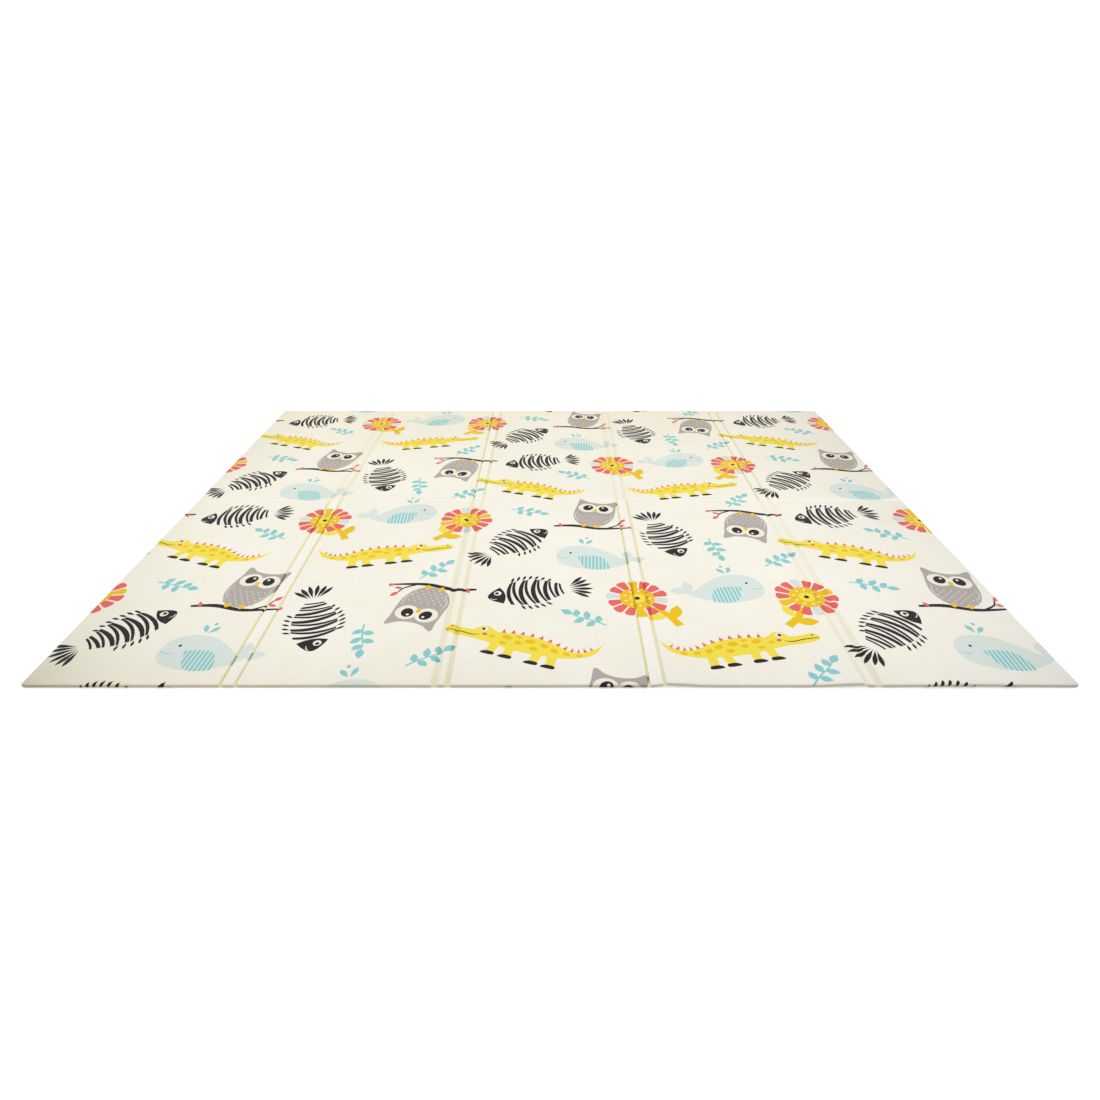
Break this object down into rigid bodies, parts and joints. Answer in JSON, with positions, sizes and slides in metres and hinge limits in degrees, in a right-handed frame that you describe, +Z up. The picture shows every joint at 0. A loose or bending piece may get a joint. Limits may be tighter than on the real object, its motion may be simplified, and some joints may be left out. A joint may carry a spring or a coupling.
{
  "type": "folding baby play mat",
  "caption": "Flat foam play mat laid out for use, with a rounded rim and paired pressed hinge grooves that part it into panels and narrow spines.",
  "frame": {"origin": "on the floor, under the middle of the mat's outline", "axes": "+X along the mat's length, across the hinge grooves; +Y from its front edge to its back edge; +Z up, out of its top face"},
  "size_m": [2, 1.5, 0.0148],
  "materials": {
    "printed_film": "printed, fine pressed grain"
  },
  "bodies": {
    "root": {"mat": "printed_film"}
  },
  "joints": []
}
